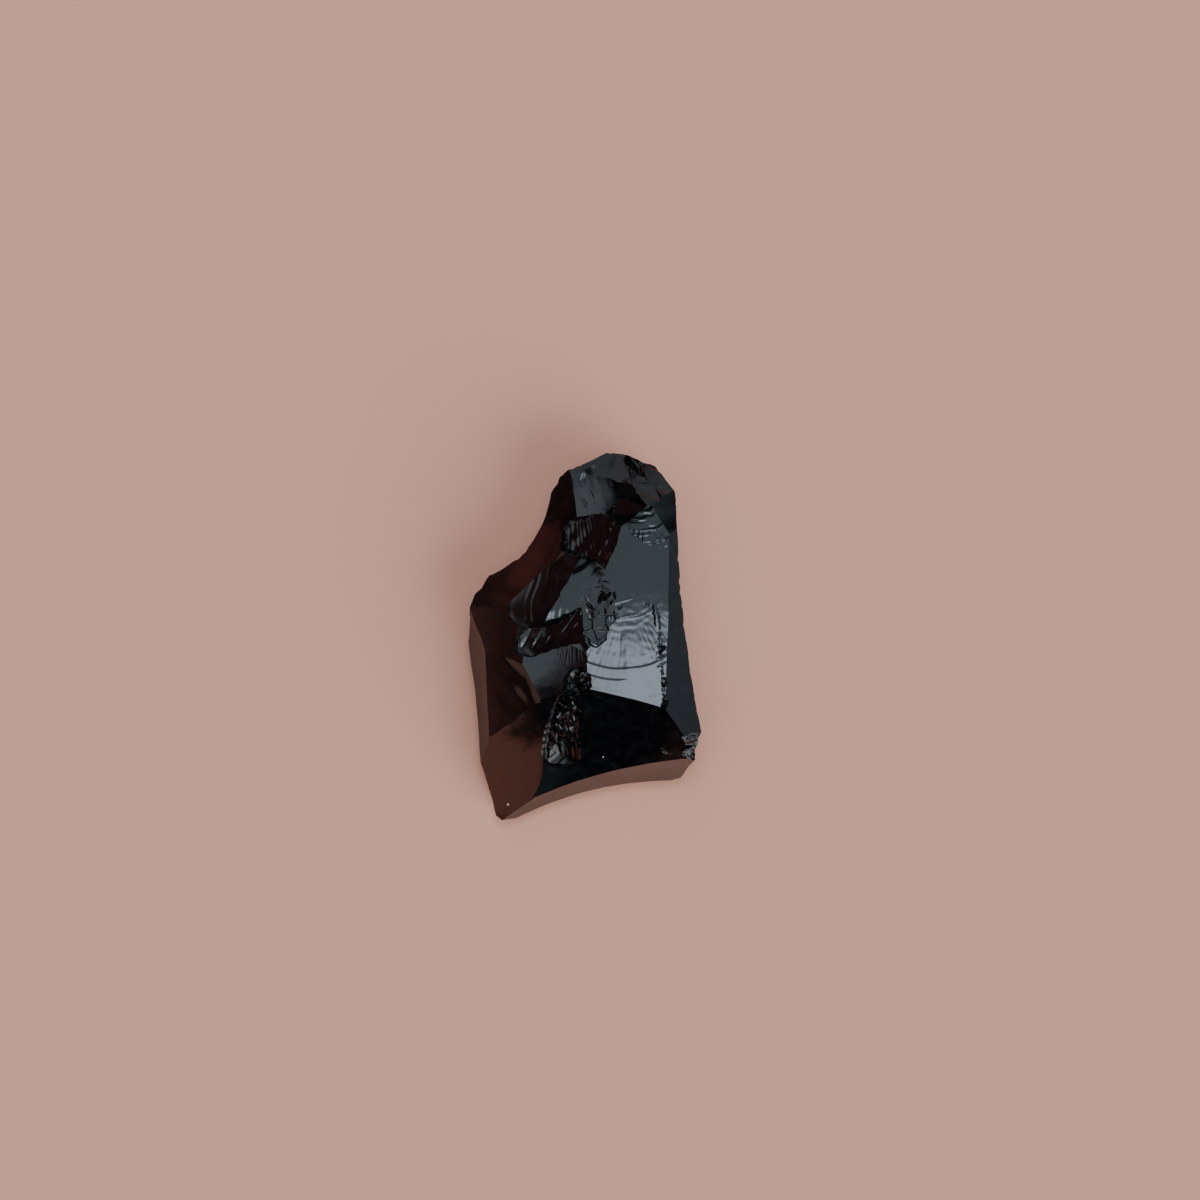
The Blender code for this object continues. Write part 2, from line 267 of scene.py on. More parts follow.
# Corners of the large scars, in mm from the middle of the base
PEAK = (13.1, -11.2, 18.4)
BROW = (1.6, -8.3, 18.0)
HEAD = (10.8, 21.3, 17.2)
SHOULDER = (13.7, 12.5, 16.5)
HIP = (18.7, -14.1, 14.6)
CORNER = (17.3, -19.2, 15.3)
FRONT_MID = (9.2, -20.7, 12.6)
FRONT_LEFT = (-3.8, -24.5, 9.6)
TOE = (8.3, -24.2, 4.5)
TIP = (-14.4, -29.6, 5.0)
HEEL = (-16.9, -18.4, 7.6)
LENS = (-5.6, -12.5, 15.2)
STRIP_RIM = (-18.7, -0.5, 7.2)
STRIP_MID = (-16.0, -2.1, 10.9)
STRIP_LOW = (-15.2, -10.6, 9.9)
MID_RIDGE = (-8.9, 4.2, 15.4)
LOW_FOOT = (-12.9, -14.8, 10.6)
SLATE_TIP = (-9.8, -4.2, 14.9)
SLATE_HEAD = (-0.1, -0.7, 17.0)
SLATE_FOOT = (0.7, -6.7, 17.85)
NOTCH = (-15.5, 9.9, 8.8)
BEND = (-5.3, 23.2, 10.4)
SADDLE = (-5.7, 11.3, 14.0)
BOWL_TOP = (4.2, 12.5, 17.0)
BOWL_FOOT = (3.1, 3.2, 16.3)
BOWL_LEFT = (-3.4, 7.7, 15.1)
DIM_TOP = (-2.7, 13.2, 15.3)
DIM_RIGHT = (-3.4, 7.4, 15.1)
DIM_LEFT = (-7.0, 7.7, 13.7)
CRACK_TOP = (0.0, 4.0, 15.6)
CRACK_FOOT = (-0.1, 0.0, 16.2)
CRACK_LEFT = (-8.6, 2.0, 12.5)
RIPPLE_LEFT = (7.7, 20.2, 17.0)
RIPPLE_RIGHT = (13.8, 17.3, 16.6)
RIPPLE_FOOT = (9.5, 14.0, 16.6)
SHOULDER_TOP = (11.1, 21.7, 16.9)
SHOULDER_FOOT = (14.3, 16.1, 16.5)
SHOULDER_RIM = (15.2, 21.4, 14.9)
HEAD_TOP = (-0.8, 28.1, 12.0)
HEAD_FOOT = (-1.1, 18.7, 15.0)
HEAD_END = (9.3, 20.4, 16.9)
HEAD_EDGE = (-3.3, 26.3, 11.6)
HEAD_RIDGE = (-1.3, 21.4, 14.8)
CREST_LEFT = (1.4, 27.9, 11.6)
CREST_FOOT = (4.7, 24.2, 14.4)
CREASE = (7.0, 28.7, 11.8)
CROWN_RIGHT = (14.4, 24.2, 14.6)
CROWN_FOOT = (10.1, 21.7, 16.8)
# Where the blows struck, seen from above
STRIKE_BRIGHT = (6.3, 7.9)
STRIKE_RIPPLED = (9.8, 22.9)
STRIKE_HEAD = (6.5, 27.5)
STRIKE_BOWL = (4.4, 5.8)

# Torn-out crumbs above the clump, as rows for bites
TORN = [(0.9, 5.2, 140, 0.8, 0.25, 0.35, 0.3), (2.9, 7.0, 75, 0.9, 0.35, 0.5, 0.4),
        (3.5, 6.4, 50, 0.8, 0.3, 0.45, -0.4), (5.0, 7.1, 100, 0.7, 0.2, 0.4, 0.3),
        (4.6, 5.9, 60, 0.6, 0.18, 0.35, 0.3), (5.9, 4.9, 35, 0.5, 0.2, 0.3, 0.2)]

scars = [
    # The large sheets of the upper side
    Scar("bright", (BROW, PEAK, HEAD), UP, (90, 130), facet=0.15,
         marks=[(waves, dict(seed=1, length=9, swell=0.02)),
                (waves, dict(seed=21, length=1.6, swell=0.004)),
                (ledge, dict(strike=STRIKE_BRIGHT, radius=12.9, drop=0.08, width=0.11, spread=70)),
                (ledge,
                 dict(strike=STRIKE_BRIGHT, radius=14.7, drop=0.07, width=0.11, spread=26,
                      heading=-20)),
                (ripples, dict(strike=STRIKE_BRIGHT, spacing=2.3, swell=0.008, near=3.0)),
                (hackles, dict(strike=STRIKE_BRIGHT, count=70, swell=0.0022, near=6.0)),
                (grooves,
                 dict(paths=[(((5.2, 5.6), (7.9, 6.4)), 0.12, 0.02),
                             (((6.0, 3.3), (8.6, 3.8)), 0.12, 0.02),
                             (((5.9, 3.0), (9.0, 3.4), (10.9, 4.3), (11.7, 5.4)), 0.2, 0.015)])),
                (bites,
                 dict(rows=[(12.3, -2.2, 30, 0.9, 0.2, 0.08, 0), (12.4, -3.1, 30, 0.9, 0.2, 0.08, 0),
                            (12.6, -4.2, 30, 0.9, 0.2, 0.08, 0), (11.8, 3.6, 100, 2.4, 0.5, 0.10, 0),
                            (10.3, 5.3, 60, 0.6, 0.3, 0.10, 0)] + TORN)),
                (bites, dict(rows=along_edge(31, [(12.0, 6.0), (13.1, -11.2)], 0.7, 0.22, 0.08)))]),
    Scar("dark", (BROW, PEAK, CORNER), UP, (70, 90),
         marks=[(waves, dict(seed=2, length=10, swell=0.02)),
                (bites, dict(rows=[(13.2, -18.6, -30, 0.9, 0.35, 0.18, 0)]))]),
    Scar("right_bevel", (PEAK, SHOULDER, HIP), UP, (150, 80),
         marks=[(waves, dict(seed=3, length=12, swell=0.04)),
                (waves, dict(seed=23, length=2.2, swell=0.004))]),
    Scar("front", (FRONT_MID, FRONT_LEFT, TOE), FOOTWARD, (FLAT, 70), DOWN,
         marks=[(waves, dict(seed=4, length=9, swell=0.03))]),
    Scar("rippled", (RIPPLE_LEFT, RIPPLE_RIGHT, RIPPLE_FOOT), UP, (28, 40), facet=0.14,
         marks=[(ripples, dict(strike=STRIKE_RIPPLED, spacing=1.0, swell=0.045, near=0.8, spread=75)),
                (hackles, dict(strike=STRIKE_RIPPLED, count=46, swell=0.018, near=5.0)),
                (grooves,
                 dict(paths=[(((13.6, 17.5), (12.4, 16.0), (10.6, 14.8)), 0.15, 0.06),
                             (((5.9, 14.7), (8.0, 14.3), (10.8, 14.9), (13.4, 16.1)), 0.18, 0.05)]))]),
    Scar("left_strip", (STRIP_RIM, STRIP_MID, STRIP_LOW), LEFT, (80, 60),
         marks=[(waves, dict(seed=5, length=8, swell=0.03))]),
    Scar("lower_left", (HEEL, LENS, TIP), UP, (70, 70), facet=0.2, bank=(3.0, 0.9),
         marks=[(waves, dict(seed=6, length=7, swell=0.05))],
         outline=[(-5.4, -9.9), (-10.4, -11.3), (-12.7, -13.8), (-15.2, -16.3), (-17.9, -18.2),
                  (-19.8, -25.2), (-17.1, -31.7), (-11.8, -31.7), (-8.8, -27.2), (-7.4, -24.4),
                  (-6.5, -20.8), (-6.0, -17.6), (-5.5, -14.4), (-4.8, -11.4)]),
    Scar("shoulder", (SHOULDER_TOP, SHOULDER_FOOT, SHOULDER_RIM), UP, (60, 60),
         marks=[(waves, dict(seed=17, length=5, swell=0.04))]),
    Scar("left_middle", (STRIP_MID, SLATE_TIP, MID_RIDGE), UP, (60, 40),
         marks=[(waves, dict(seed=8, length=4.5, swell=0.08))]),
    Scar("left_low", (STRIP_MID, SLATE_TIP, LOW_FOOT), UP, (45, 40),
         marks=[(waves, dict(seed=9, length=4, swell=0.07))]),
    Scar("slate", (SLATE_TIP, SLATE_HEAD, SLATE_FOOT), UP, (35, 45),
         marks=[(waves, dict(seed=10, length=6, swell=0.02)),
                (waves, dict(seed=50, length=1.7, swell=0.004)),
                (hackles, dict(strike=(-1.5, 8.0), count=120, swell=0.007, near=7.5, far=13.0))]),
    Scar("upper_left", (NOTCH, BEND, SADDLE), UP, (60, 40), (1, 1.3, 0),
         marks=[(waves, dict(seed=11, length=7, swell=0.03)),
                (ripples,
                 dict(strike=STRIKE_BOWL, spacing=2.3, swell=0.014, near=8.5, far=17.0, wobble=0.4,
                      seed=7))]),
    Scar("head_left", (BEND, HEAD_EDGE, HEAD_RIDGE), UP, (30, 30),
         marks=[(waves, dict(seed=12, length=4, swell=0.03))]),
    Scar("bowl", (BOWL_TOP, BOWL_FOOT, BOWL_LEFT), UP, (20, 40), (0.3, -1, 0), facet=0.18,
         marks=[(waves, dict(seed=33, length=2.4, swell=0.022)),
                (ripples,
                 dict(strike=STRIKE_BOWL, spacing=1.4, swell=0.028, near=1.0, wobble=0.3, seed=2)),
                (bites, dict(rows=TORN))]),
    Scar("bowl_flank", (DIM_TOP, DIM_RIGHT, DIM_LEFT), UP, (25, 40),
         marks=[(ripples,
                 dict(strike=STRIKE_BOWL, spacing=1.5, swell=0.018, near=1.0, wobble=0.3, seed=4))]),
    Scar("crack", (CRACK_TOP, CRACK_FOOT, CRACK_LEFT), UP, (30, 30), (1, -0.2, 0), facet=0.16,
         bank=(3.0, 1.0),
         outline=[(1.1, 5.8), (-0.5, 4.8), (-2.4, 3.5), (-4.5, 2.2), (-6.5, 1.6), (-8.6, 1.7),
                  (-10.4, -0.3), (-10.3, -2.6), (-7.8, -3.0), (-5.6, -2.1), (-3.4, -1.3), (-1.3, -0.9),
                  (0.8, -0.5), (0.9, 2.6)],
         marks=[(waves, dict(seed=13, length=3, swell=0.03)),
                (grooves, dict(paths=[(((0.0, 5.6), (-3.4, 0.9)), 0.18, 0.08)])),
                (bites,
                 dict(rows=[(-9.2, -0.4, 66, 1.9, 0.45, 0.12, 0), (-7.5, -0.5, 62, 1.7, 0.35, 0.09, 0),
                            (-5.6, -0.3, 55, 1.1, 0.3, 0.05, 0), (-1.6, 4.3, 62, 1.3, 0.3, 0.10, 0),
                            (-0.9, 2.2, 35, 1.0, 0.25, 0.08, 0),
                            (-0.2, 3.9, 100, 0.8, 0.2, 0.08, 0)]))]),
    Scar("head", (HEAD_TOP, HEAD_FOOT, HEAD_END), UP, (38, 30), facet=0.18,
         marks=[(ripples,
                 dict(strike=STRIKE_HEAD, spacing=1.5, swell=0.010, near=2.0, wobble=0.3, seed=5)),
                (hackles, dict(strike=(-1.0, 32.0), count=30, swell=0.003, near=2.0)),
                (bites,
                 dict(rows=[(1.2, 23.6, -62, 1.3, 0.25, 0.03, 0),
                            (0.2, 21.8, -60, 1.6, 0.25, 0.03, 0)]))]),
    Scar("head_hollow", ((4.7, 20.1, 14.1), (8.0, 23.2, 15.8), (9.8, 21.0, 16.8)), UP, (30, 30),
         facet=0.16,
         marks=[(waves, dict(seed=63, length=2, swell=0.02))], bank=(3.0, 0.9),
         outline=[(4.7, 20.1), (5.5, 22.1), (7.1, 23.2), (9.0, 22.7), (10.0, 21.2), (8.5, 20.1),
                  (6.6, 19.8)]),
    Scar("crown", (CREASE, CROWN_RIGHT, CROWN_FOOT), UP, (40, 60), facet=0.13, bank=(3.0, 0.9),
         marks=[(shattered,
                 dict(seed=64, size=1.3, drop=0.10, tilt=0.10, bias=(-0.06, 0), stretch=2.6, turn=40,
                      seam=0.4))],
         outline=[(6.2, 30.6), (6.7, 28.6), (7.7, 25.4), (9.3, 22.4), (10.3, 20.6), (13.7, 20.2),
                  (17.0, 23.0), (16.4, 27.6), (12.7, 31.2), (8.5, 32.4)]),
    Scar("crest", (CREST_LEFT, CREASE, CREST_FOOT), UP, (60, 60), facet=0.18,
         marks=[(waves, dict(seed=15, length=3, swell=0.07)),
                (grooves, dict(paths=[(((7.0, 29.0), (7.6, 25.6)), 0.3, 0.12)]))]),
    Scar("chip_a", ((0.2, 27.2, 11.76), (2.6, 28.9, 11.42), (1.6, 26.6, 11.88)), UP, (14, 14),
         facet=0.12,
         marks=[(waves, dict(seed=61, length=2, swell=0.02))],
         outline=[(0.2, 27.3), (2.4, 28.9), (3.0, 28.4), (1.5, 26.2), (0.7, 26.5)], bank=(3.0, 0.5)),
    Scar("chip_b", ((-0.7, 25.9, 12.2), (0.1, 26.8, 12.06), (0.4, 24.9, 12.45)), UP, (14, 14),
         facet=0.12,
         marks=[(waves, dict(seed=62, length=2, swell=0.02))],
         outline=[(-0.7, 25.7), (-0.1, 27.0), (0.5, 26.7), (0.3, 24.6), (-0.2, 24.4)], bank=(3.0, 0.5)),
    # Two hollows that undercut the sides
    Scar("under_right", ((17.2, 9.0, 6.5), (17.4, -9.0, 7.5), (11.5, 0, 0)), (1, 0, -1), (60, 32), DOWN,
         facet=0.45,
         marks=[(ripples,
                 dict(strike=(17.3, 0.0), spacing=2.2, swell=0.05, near=1.0, wobble=0.4, seed=3))]),
    Scar("under_head", ((-1.0, 26.5, 4.0), (11.0, 27.0, 5.0), (5.5, 18.5, 0)), (0, 1, -1), (60, 26),
         DOWN, facet=0.45,
         marks=[(ripples,
                 dict(strike=(5.0, 26.7), spacing=1.9, swell=0.05, near=1.0, wobble=0.4, seed=6))]),
    # Small scars where the glass was crushed or torn
    Scar("clump", ((0.5, 5.0, 15.9), (5.0, 3.0, 16.3), (2.0, -1.5, 16.0)), UP, (30, 30), facet=0.12,
         marks=[(shattered, dict(seed=41, size=1.4, drop=0.14, tilt=0.12))],
         outline=[(0.5, 5.6), (1.8, 5.6), (2.8, 6.4), (3.4, 7.7), (4.5, 7.4), (5.5, 7.7), (5.8, 6.7),
                  (4.8, 5.4), (5.3, 4.2), (6.0, 3.2), (4.5, 2.2), (3.9, 0.9), (3.7, -0.3), (2.3, -1.5),
                  (1.1, -0.8), (0.8, 0.0), (0.0, 0.6), (-0.1, 2.6), (0.2, 4.2)], bank=(3.0, 0.5)),
    Scar("edge_a", ((12.3, 1.2, 17.7), (12.3, -2.3, 16.5), (13.6, -0.5, 17.3)), UP, (30, 30),
         facet=0.12,
         marks=[(shattered, dict(seed=71, size=0.7, drop=0.08, tilt=0.25))],
         outline=[(11.8, 1.0), (12.6, 1.6), (13.4, 0.8), (13.8, -0.6), (13.3, -1.9), (12.4, -2.3),
                  (11.9, -1.3), (12.2, -0.4), (11.6, 0.0)], bank=(3.0, 0.5)),
    Scar("edge_b", ((12.8, -5.0, 17.9), (12.8, -7.6, 16.9), (13.9, -6.2, 17.6)), UP, (30, 30),
         facet=0.12,
         marks=[(shattered, dict(seed=72, size=0.6, drop=0.06, tilt=0.25))],
         outline=[(12.7, -5.0), (13.6, -5.4), (14.0, -6.8), (13.2, -7.6), (12.6, -7.0), (12.9, -6.0)],
         bank=(3.0, 0.4)),
    Scar("edge_c", ((12.8, -8.6, 18.1), (12.8, -11.0, 17.2), (13.9, -9.8, 17.8)), UP, (30, 30),
         facet=0.12,
         marks=[(shattered, dict(seed=73, size=0.5, drop=0.05, tilt=0.25))],
         outline=[(12.8, -8.5), (13.5, -8.9), (13.9, -10.2), (13.3, -11.0), (12.7, -10.5),
                  (13.0, -9.6)], bank=(3.0, 0.4)),
    Scar("pit", ((-2.0, -5.0, 15.6), (1.4, -6.0, 16.4), (-0.5, -8.8, 15.8)), UP, (6, 6), facet=0.12,
         marks=[(shattered, dict(seed=42, size=0.9, drop=0.25, tilt=0.5))],
         outline=[(-2.5, -8.0), (-2.4, -6.3), (-1.4, -5.0), (0.0, -5.1), (1.1, -5.9), (1.5, -7.4),
                  (0.8, -8.3), (-0.8, -8.8), (-2.1, -8.7)], bank=(3.0, 0.9)),
    Scar("tear", ((-4.8, -10.5, 15.6), (2.8, -12.0, 16.4), (-2.0, -19.5, 11.2)), UP, (60, 60),
         facet=0.14,
         marks=[(shattered, dict(seed=43, size=0.8, drop=0.09, tilt=0.11, stretch=1.6, turn=15)),
                (bites,
                 dict(rows=[(-3.9, -13.2, 70, 0.9, 0.35, 0.1, -0.5),
                            (-2.6, -12.6, 60, 0.6, 0.3, 0.1, -0.5),
                            (-1.2, -11.6, 80, 0.5, 0.3, 0.1, -0.5),
                            (-2.0, -15.2, 50, 0.7, 0.3, 0.1, -0.5)]))],
         outline=[(-6.1, -17.8), (-5.5, -14.2), (-4.4, -10.7), (-3.4, -8.8), (-1.8, -9.1), (1.1, -9.1),
                  (2.8, -10.1), (3.4, -12.6), (3.2, -16.2), (2.4, -18.4), (0.2, -19.6), (-3.7, -20.0),
                  (-6.0, -19.6)], bank=(3.0, 2.4)),
    Scar("shell", ((-5.8, -20.3, 10.4), (-0.3, -19.0, 11.1), (-3.0, -16.4, 11.7)), UP, (9, 7),
         facet=0.12,
         marks=[(ripples, dict(strike=(-6.5, -18.5), spacing=0.9, swell=0.05, near=1.0))],
         outline=[(-5.8, -20.3), (-5.5, -18.5), (-4.4, -17.2), (-2.8, -16.4), (-1.3, -16.9),
                  (-0.3, -18.2), (-0.3, -19.8), (-1.3, -20.6), (-3.4, -20.9), (-5.0, -20.8)],
         bank=(3.0, 0.8)),
    Scar("ribs", ((-2.0, 17.0, 12.9), (6.0, 19.0, 16.7), (2.8, 12.0, 15.7)), UP, (30, 30), facet=0.14,
         marks=[(hackles, dict(strike=(-3.0, 38.0), count=190, swell=0.013, near=1.0)),
                (waves, dict(seed=44, length=2.6, swell=0.05)),
                (bites,
                 dict(rows=[(5.2, 18.8, 60, 0.6, 0.25, 0.12, 0.3), (4.6, 17.6, 50, 0.5, 0.2, 0.1, 0.3),
                            (3.9, 15.6, 70, 0.7, 0.25, 0.1, 0.3),
                            (2.9, 13.9, 60, 0.5, 0.25, 0.1, 0.3)]))],
         outline=[(-2.7, 14.5), (-2.7, 17.4), (-1.3, 18.8), (1.1, 19.5), (3.2, 20.4), (5.5, 20.4),
                  (7.3, 20.1), (6.3, 17.4), (5.6, 14.9), (4.8, 12.5), (3.7, 10.6), (2.8, 12.5),
                  (0.3, 13.2)], bank=(3.0, 0.8)),
    Scar("corner_chips", ((15.6, -16.2, 16.2), (18.6, -16.0, 14.6), (16.6, -19.0, 14.8)), UP, (20, 20),
         facet=0.14,
         marks=[(shattered, dict(seed=45, size=1.0, drop=0.15, tilt=0.4))],
         outline=[(15.9, -15.9), (17.3, -15.5), (19.5, -15.2), (19.5, -17.3), (18.5, -19.2),
                  (17.3, -19.9), (15.6, -18.9), (16.6, -17.8)], bank=(3.0, 1.2)),
]

# The sides below the rim: two rim points, how far the foot is tucked in, hollow.
for name, rim_a, rim_b, tuck, hollow in [
    ("right_side", (15.0, 22.2, 14.8), (18.6, -12.5, 14.2), 1.4, FLAT),
    ("right_corner", (18.9, -14.7, 13.0), (17.9, -19.5, 13.0), 2.2, 60),
    ("front_rim", (8.3, -24.2, 4.4), (-3.9, -26.7, 3.6), 3.6, 60),
    ("toe_corner", (17.4, -22.0, 5.0), (16.0, -23.1, 5.0), 2.4, 60),
    ("tip_rim", (-13.7, -29.4, 4.0), (-15.5, -28.6, 4.2), 2.4, FLAT),
    ("heel_rim", (-15.8, -27.2, 4.2), (-17.0, -18.9, 6.0), 2.4, FLAT),
    ("heel_corner", (-17.0, -18.9, 6.0), (-18.4, -13.7, 6.3), 2.6, FLAT),
    ("left_rim", (-19.0, -8.9, 6.4), (-19.1, -0.6, 7.2), 2.6, FLAT),
    ("cheek_rim", (-18.8, 2.0, 8.6), (-18.0, 6.5, 9.3), 3.0, 60),
    ("notch_rim", (-18.1, 6.6, 9.0), (-15.5, 10.0, 8.8), 3.6, 100),
    ("hollow_rim", (-15.6, 9.9, 8.4), (-5.1, 23.5, 10.0), 7.3, 14),
    ("bend_rim", (-5.1, 23.7, 10.2), (-3.8, 26.1, 10.9), 3.8, 60),
    ("head_rim_left", (-3.8, 26.1, 10.9), (-0.4, 28.2, 11.6), 4.3, 100),
    ("head_rim_top", (-0.4, 28.3, 11.4), (3.4, 30.45, 10.8), 4.2, 100),
    ("head_rim_mid", (3.4, 30.45, 10.6), (7.7, 29.4, 10.8), 4.4, 100),
    ("head_rim_right", (7.7, 29.3, 10.8), (12.0, 27.5, 11.6), 4.2, 100),
    ("crown_rim", (12.0, 27.4, 12.2), (14.4, 23.9, 14.0), 4.0, 100),
]:
    a, b = np.array(rim_a), np.array(rim_b)
    outward = np.cross(b - a, UP)
    outward[2] = 0
    outward = unit(outward)
    outward = outward if outward @ (a + b) > 0 else -outward
    foot = (a + b) / 2 - outward * tuck
    foot[2] = 0
    scars.append(Scar(name, (a, b, foot), outward + (0, 0, -0.3), (FLAT, hollow), DOWN,
                      [(waves, dict(seed=len(scars), length=5, swell=0.06)),
                       (ripples, dict(strike=tuple((0.7 * a + 0.3 * b)[:2]), spacing=3.4, swell=0.015,
                                      near=1.5, wobble=0.9, seed=len(scars))),
                       (nicks, dict(seed=len(scars), path=(a, b)))], facet=0.34))


def make_mesh(name, points, faces):
    mesh = bpy.data.meshes.new(name)
    mesh.from_pydata(np.asarray(points) * MM, [], faces)
    return mesh


def raw_block():
    """The block before flaking, 6 mm proud of the chunk on every side, flat underneath."""
    x, y, top = 24.9, 36.2, 24.4
    corners = [(sx * x, sy * y, z) for z in (0, top) for sx, sy in ((-1, -1), (1, -1), (1, 1), (-1, 1))]
    faces = [(3, 2, 1, 0), (4, 5, 6, 7), (0, 1, 5, 4), (1, 2, 6, 5), (2, 3, 7, 6), (3, 0, 4, 7)]
    return make_mesh("raw_block", corners, faces)


def seen_span(scar, others):
    """The stretch of the sheet, along and across, that ends up on the chunk's surface."""
    if scar.edge is not None:
        (u0, v0), (u1, v1) = np.min(scar.edge, axis=0), np.max(scar.edge, axis=0)
        rim = scar.bank[1]
        return u0 - rim, u1 + rim, v0 - rim, v1 + rim
    step, slack, above = 0.8, 0.35, 19.0
    t = np.arange(-40, 40.1, step)
    u, v = (g.ravel() for g in np.meshgrid(t, t, indexing="ij"))
    h = scar.height(u, v, plain=True)
    p = scar.centre + u[:, None] * scar.along + v[:, None] * scar.across + h[:, None] * scar.out
    kept = (p[:, 2] > -0.3) & (p[:, 2] < above)
    for other in others:
        if other is not scar:
            kept &= other.over(p, plain=True) < slack
    if not kept.any():
        return None
    return u[kept].min() - step, u[kept].max() + step, v[kept].min() - step, v[kept].max() + step


def lines(low, high, step, reach):
    """Even lines from low to high, then ever wider ones out to the reach on both sides."""
    inner = np.linspace(low, high, max(2, int(round((high - low) / step)) + 1))
    if not reach:
        return inner
    outer, s = [], step
    while sum(outer) < reach + abs(low) + abs(high):
        s *= 1.7
        outer.append(s)
    run = np.cumsum(outer)
    return np.concatenate([low - run[::-1], inner, high + run])


def waste(scar, span):
    """The closed piece that is knocked off: the sheet inside, flat outside."""
    reach = 46.0 if scar.edge is None else 0
    us, vs = lines(span[0], span[1], scar.facet, reach), lines(span[2], span[3], scar.facet, reach)
    nu, nv = len(us), len(vs)
    u, v = (g.ravel() for g in np.meshgrid(us, vs, indexing="ij"))
    h = scar.height(u, v)
    cap = max(h.max(), 2 * reach) + 1
    ends = [(us[0], vs[0]), (us[0], vs[-1]), (us[-1], vs[-1]), (us[-1], vs[0])]
    u = np.concatenate([u, [e[0] for e in ends]])
    v = np.concatenate([v, [e[1] for e in ends]])
    h = np.concatenate([h, [cap] * 4])
    p = scar.centre + u[:, None] * scar.along + v[:, None] * scar.across + h[:, None] * scar.out
    i, j = (g.ravel() for g in np.meshgrid(np.arange(nu - 1), np.arange(nv - 1), indexing="ij"))
    a, b = i * nv + j, (i + 1) * nv + j
    faces = np.concatenate([np.stack([a, a + 1, b + 1], 1), np.stack([a, b + 1, b], 1)]).tolist()
    t = nu * nv
    edges = [list(range(nv)), [k * nv + nv - 1 for k in range(nu)],
             [(nu - 1) * nv + k for k in reversed(range(nv))], [k * nv for k in reversed(range(nu))]]
    for k, edge in enumerate(edges):
        faces.append([t + k, t + (k + 1) % 4] + edge[::-1])
    faces.append([t + 3, t + 2, t + 1, t])
    return make_mesh("waste_" + scar.name, p, faces)


chunk = bpy.data.objects.new("obsidian_surface", raw_block())
bpy.context.scene.collection.objects.link(chunk)
cutters = []
for scar, span in [(scar, seen_span(scar, scars)) for scar in scars]:
    if span is None:
        continue
    cutter = bpy.data.objects.new("waste_" + scar.name, waste(scar, span))
    bpy.context.scene.collection.objects.link(cutter)
    cutters.append(cutter)
    cut = chunk.modifiers.new(scar.name, "BOOLEAN")
    cut.operation, cut.solver, cut.object = "DIFFERENCE", "MANIFOLD", cutter

bpy.context.view_layer.update()
chunk.data = bpy.data.meshes.new_from_object(chunk.evaluated_get(bpy.context.evaluated_depsgraph_get()))
chunk.modifiers.clear()
for cutter in cutters:
    bpy.data.objects.remove(cutter, do_unlink=True)

bm = bmesh.new()
bm.from_mesh(chunk.data)
bmesh.ops.triangulate(bm, faces=bm.faces)
bm.to_mesh(chunk.data)
bm.free()

mesh = chunk.data
n_vert, n_face = len(mesh.vertices), len(mesh.polygons)
co = np.empty(n_vert * 3, np.float32)
mesh.vertices.foreach_get("co", co)
co = co.reshape(-1, 3).astype(float) / MM
corner = np.empty(n_face * 3, np.int32)
mesh.loops.foreach_get("vertex_index", corner)
tri = corner.reshape(-1, 3)
centre = co[tri].mean(1)
raw = np.cross(co[tri[:, 1]] - co[tri[:, 0]], co[tri[:, 2]] - co[tri[:, 0]])
facing = raw / np.maximum(np.linalg.norm(raw, axis=1, keepdims=True), 1e-12)

# Which scar each facet belongs to, and the scar's own smooth normal at each of its corners.
NEAR, ON_SHEET = 1.2, 0.05  # mm
owner = np.full(n_face, -1)  # -1 is a facet of no scar, -2 the flat base
best = np.full(n_face, ON_SHEET)
for k, scar in enumerate(scars):
    close = np.nonzero(np.abs(scar.over(centre, plain=True)) < NEAR)[0]
    gap = np.abs(scar.over(centre[close]))
    hit = close[gap < best[close]]
    best[hit], owner[hit] = gap[gap < best[close]], k
owner[(facing[:, 2] < -0.99) & (centre[:, 2] < 0.02)] = -2

normals = np.repeat(facing, 3, axis=0)
owners = np.repeat(owner, 3)
verts = tri.ravel()
for k, scar in enumerate(scars):
    m = np.nonzero(owners == k)[0]
    if len(m):
        smooth = scar.normal(co[verts[m]])
        fits = (smooth * normals[m]).sum(1) > 0.5
        normals[m[fits]] = smooth[fits]
mesh.polygons.foreach_set("use_smooth", np.ones(n_face, bool))
mesh.normals_split_custom_set(normals)
mesh.update()


def linear(code):
    """sRGB hex to the linear colour that a shader takes."""
    parts = [int(code[i:i + 2], 16) / 255 for i in (1, 3, 5)]
    return tuple(c / 12.92 if c <= 0.04045 else ((c + 0.055) / 1.055) ** 2.4 for c in parts) + (1.0,)


def add(tree, kind, inputs=(), **settings):
    """Adds a node with its settings; each input is a value or another node's output."""
    node = tree.nodes.new(kind)
    for key, value in settings.items():
        setattr(node, key, value)
    for socket, value in inputs:
        if isinstance(value, bpy.types.NodeSocket):
            tree.links.new(value, node.inputs[socket])
        else:
            node.inputs[socket].default_value = value
    return node


# Volcanic glass, broken, not polished: black and glossy. Towards the thin left side its base colour turns
# brown, a painted reflection of the warm light low on the left, broken up by the flow haze. The flow haze
# makes some bands duller, a thin film greys the black in clouds, and a few pale specks lie on it, partly
# dust and partly painted glints.
glass = bpy.data.materials.new("obsidian_volcanic_glass")
glass.use_nodes = True
tree = glass.node_tree
shader = tree.nodes["Principled BSDF"]
shader.inputs["IOR"].default_value = 1.49
place = add(tree, "ShaderNodeTexCoord").outputs["Object"]
aside = add(tree, "ShaderNodeSeparateXYZ", [(0, place)]).outputs["X"]
